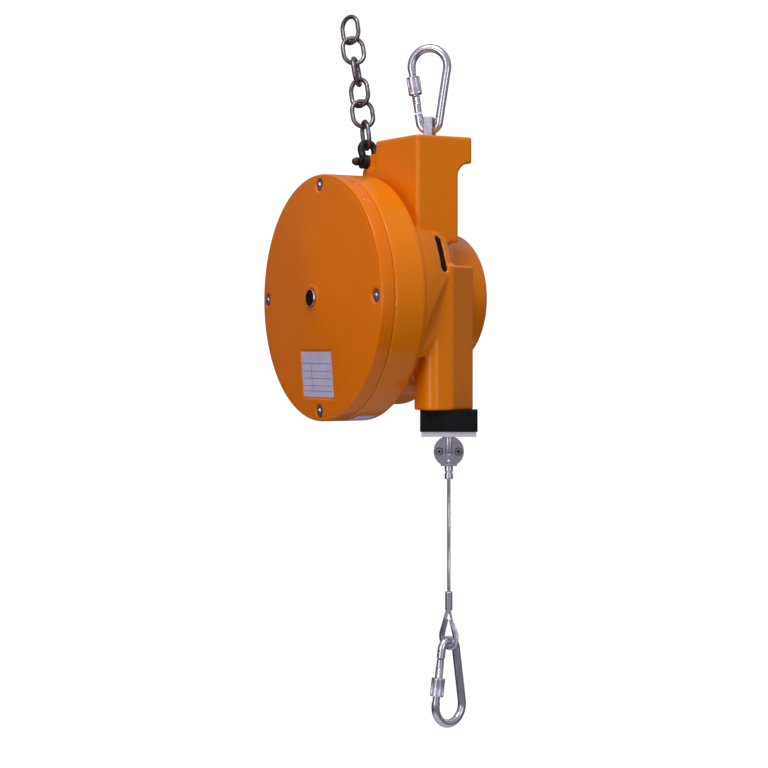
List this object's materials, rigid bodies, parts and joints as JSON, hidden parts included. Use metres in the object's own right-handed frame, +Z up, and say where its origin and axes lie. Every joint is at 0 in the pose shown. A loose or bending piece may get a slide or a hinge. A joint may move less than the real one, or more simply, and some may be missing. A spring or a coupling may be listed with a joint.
{
  "type": "tool balancer",
  "caption": "Spring tool balancer: cast housing with a rope drum, swivelling suspension hook, safety chain and a pull-out wire rope ending in a screw-gate hook.",
  "frame": {"origin": "inside crown of the suspension hook, where it rests on what carries it", "axes": "+Z up along the swivel stud's axis, -Y out of the front cover, +X towards the rope side"},
  "size_m": [0.272, 0.1926, 0.7934],
  "materials": {
    "casting": "painted, semi-gloss orange",
    "cover": "painted, semi-gloss orange",
    "plate": "brushed sheet",
    "zinc": "bright zinc plate",
    "bright_steel": "machined",
    "spring_steel": "blued strip",
    "black_steel": "blackened",
    "chain_steel": "plain drawn wire",
    "wire_rope": "stranded",
    "drum": "machined casting",
    "rubber": "matt",
    "nylon": "matt"
  },
  "bodies": {
    "housing": {"housing": "casting", "front_cover": "cover", "rating_plate": "plate", "cover_screws": "zinc", "axle": "bright_steel", "axle_bolt": "zinc", "spring_arbor": "bright_steel", "rope_guide": "nylon"},
    "drum": {"rope_drum": "drum", "spring_case": "drum", "front_bearing": "bright_steel", "rear_bearing": "bright_steel", "wound_rope": "wire_rope", "spiral_spring": "spring_steel"},
    "rope_end": {"rope_run": "wire_rope", "clamped_rope": "wire_rope", "rubber_buffer": "rubber", "buffer_plate": "zinc", "stop_front_half": "zinc", "stop_back_half": "zinc", "stop_screws": "zinc", "stop_ferrule": "zinc", "rope_tail": "wire_rope", "end_ferrule": "zinc", "rope_eye": "wire_rope", "thimble": "zinc"},
    "stud": {"swivel_stud": "zinc", "stud_washer": "zinc", "stud_nut": "zinc"},
    "suspension_hook": {"suspension_hook": "zinc", "suspension_hook_rivet": "zinc"},
    "suspension_gate": {"suspension_hook_gate": "zinc"},
    "suspension_sleeve": {"suspension_hook_sleeve": "zinc"},
    "load_hook": {"load_hook": "zinc", "load_hook_rivet": "zinc"},
    "load_gate": {"load_hook_gate": "zinc"},
    "load_sleeve": {"load_hook_sleeve": "zinc"},
    "shackle": {"shackle": "black_steel", "shackle_pin": "black_steel"},
    "link_1": {"chain_link_1": "chain_steel"},
    "link_2": {"chain_link_2": "chain_steel"},
    "link_3": {"chain_link_3": "chain_steel"},
    "link_4": {"chain_link_4": "chain_steel"},
    "link_5": {"chain_link_5": "chain_steel"},
    "link_6": {"chain_link_6": "chain_steel"}
  },
  "joints": [
    {"name": "stud_swivel", "type": "hinge", "parent": "housing", "child": "stud", "pos_m": [0, 0, -0.08467], "axis": [0, 0, 1], "continuous": true},
    {"name": "suspension_hook_swing", "type": "hinge", "parent": "stud", "child": "suspension_hook", "pos_m": [0, 0, -0.08467], "axis": [0.6691, 0.7431, 0], "range_deg": [-75, 75]},
    {"name": "suspension_gate_hinge", "type": "hinge", "parent": "suspension_hook", "child": "suspension_gate", "pos_m": [-0.00767, -0.00852, -0.0717], "axis": [-0.7431, 0.6691, 0], "range_deg": [0, 25], "stiffness_Nm_per_rad": 0.05, "springref_deg": -11.46},
    {"name": "suspension_sleeve_slide", "type": "slide", "parent": "suspension_gate", "child": "suspension_sleeve", "axis": [0.1019, 0.1131, -0.9883], "range_m": [-0.005, 0]},
    {"name": "rope_pull", "type": "slide", "parent": "housing", "child": "rope_end", "axis": [0, 0, -1], "range_m": [0, 2], "stiffness_N_per_m": 3, "springref_m": -8, "deforming": ["rope_run"]},
    {"name": "drum_spin", "type": "hinge", "parent": "housing", "child": "drum", "pos_m": [-0.0673, 0, -0.26917], "axis": [0, 1, 0], "range_deg": [0, 1185]},
    {"name": "load_hook_swing", "type": "hinge", "parent": "rope_end", "child": "load_hook", "pos_m": [0.0297, 0.0065, -0.63787], "axis": [-0.2079, 0.9781, 0], "range_deg": [-60, 60]},
    {"name": "load_gate_hinge", "type": "hinge", "parent": "load_hook", "child": "load_gate", "pos_m": [0.03208, -0.00471, -0.6559], "axis": [0.9781, 0.2079, 0], "range_deg": [0, 25], "stiffness_Nm_per_rad": 0.05, "springref_deg": -11.46},
    {"name": "load_sleeve_slide", "type": "slide", "parent": "load_gate", "child": "load_sleeve", "axis": [-0.0317, 0.1489, 0.9883], "range_m": [-0.005, 0]},
    {"name": "shackle_swing", "type": "hinge", "parent": "housing", "child": "shackle", "pos_m": [-0.0804, -0.0295, -0.11547], "axis": [0, 1, 0], "range_deg": [-60, 18]},
    {"name": "link_1_swing", "type": "hinge", "parent": "shackle", "child": "link_1", "pos_m": [-0.08666, -0.0295, -0.09365], "axis": [0, 1, 0], "range_deg": [-45, 45]},
    {"name": "link_2_swing", "type": "hinge", "parent": "link_1", "child": "link_2", "pos_m": [-0.09355, -0.0295, -0.06962], "axis": [0.9327, -0.2419, 0.2675], "range_deg": [-45, 45]},
    {"name": "link_3_swing", "type": "hinge", "parent": "link_2", "child": "link_3", "pos_m": [-0.10063, -0.0295, -0.04491], "axis": [0.2325, 0.9703, 0.0667], "range_deg": [-45, 45]},
    {"name": "link_4_swing", "type": "hinge", "parent": "link_3", "child": "link_4", "pos_m": [-0.10772, -0.0295, -0.02021], "axis": [0.8913, 0.3746, 0.2556], "range_deg": [-45, 45]},
    {"name": "link_5_swing", "type": "hinge", "parent": "link_4", "child": "link_5", "pos_m": [-0.1148, -0.0295, 0.0045], "axis": [0.6915, -0.6947, 0.1983], "range_deg": [-45, 45]},
    {"name": "link_6_swing", "type": "hinge", "parent": "link_5", "child": "link_6", "pos_m": [-0.12188, -0.0295, 0.0292], "axis": [0.297, 0.9511, 0.0852], "range_deg": [-45, 45]}
  ],
  "couplings": [
    {"joint": "drum_spin", "follows": "rope_pull", "rad_per_m": 10.309}
  ]
}
